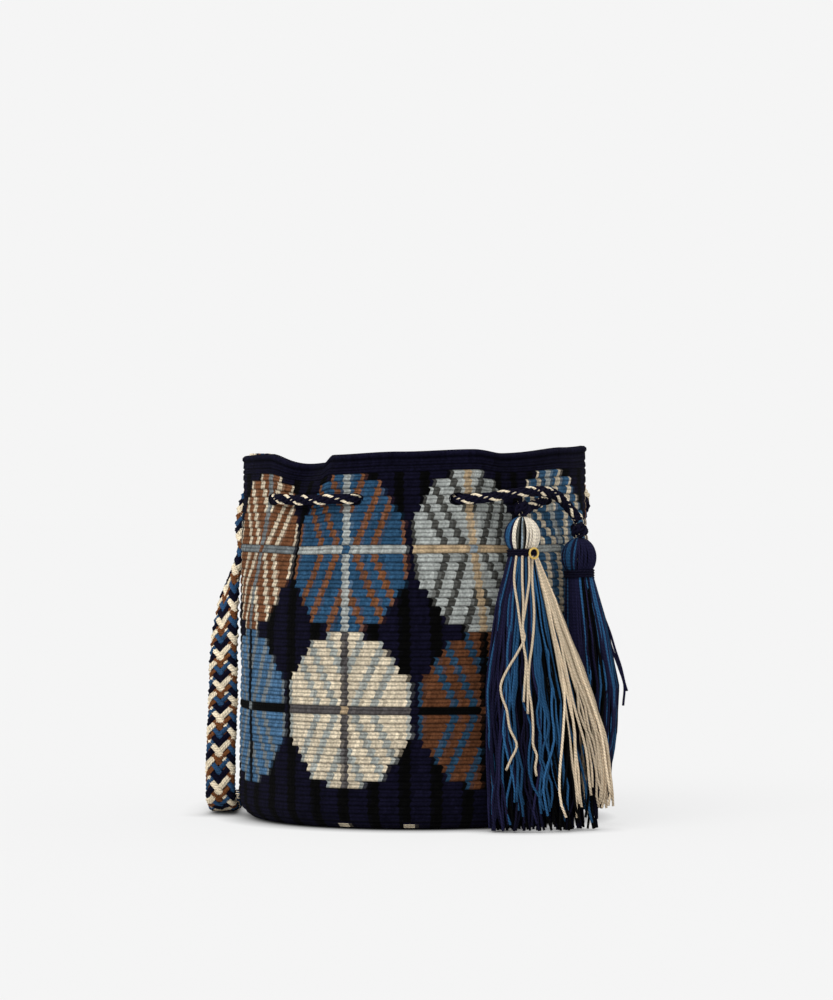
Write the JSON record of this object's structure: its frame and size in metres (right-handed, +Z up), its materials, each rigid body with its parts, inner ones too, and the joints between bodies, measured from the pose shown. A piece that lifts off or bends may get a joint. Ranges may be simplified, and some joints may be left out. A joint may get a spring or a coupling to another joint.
{
  "type": "crocheted drawstring shoulder bag",
  "caption": "Crocheted cylindrical bucket bag with a drawstring mouth, braided shoulder strap and yarn tassels, navy with stepped round medallions.",
  "frame": {"origin": "centre of the underside of the base, on the surface the bag stands on", "axes": "+Z up through the mouth; the front, with the folds and the front tassel, faces -Y"},
  "size_m": [0.2547, 0.3418, 0.2294],
  "materials": {
    "navy_yarn": "matte twisted yarn",
    "blue_yarn": "matte twisted yarn",
    "cream_yarn": "matte twisted yarn",
    "cord_yarn": "navy braid with cream flecks",
    "strap_yarn": "braid of cream, brown, blue and navy yarns",
    "brass": "polished"
  },
  "bodies": {
    "root": {"crochet_body": "navy_yarn", "drawstring": "cord_yarn", "strap": "strap_yarn", "front_tassel_navy": "navy_yarn", "front_tassel_blue": "blue_yarn", "front_tassel_cream": "cream_yarn", "front_tassel_binding": "navy_yarn", "front_tassel_knot": "cord_yarn", "brass_ring": "brass", "side_tassel_navy": "navy_yarn", "side_tassel_blue": "blue_yarn", "side_tassel_binding": "navy_yarn", "side_tassel_knot": "cord_yarn"}
  },
  "joints": []
}
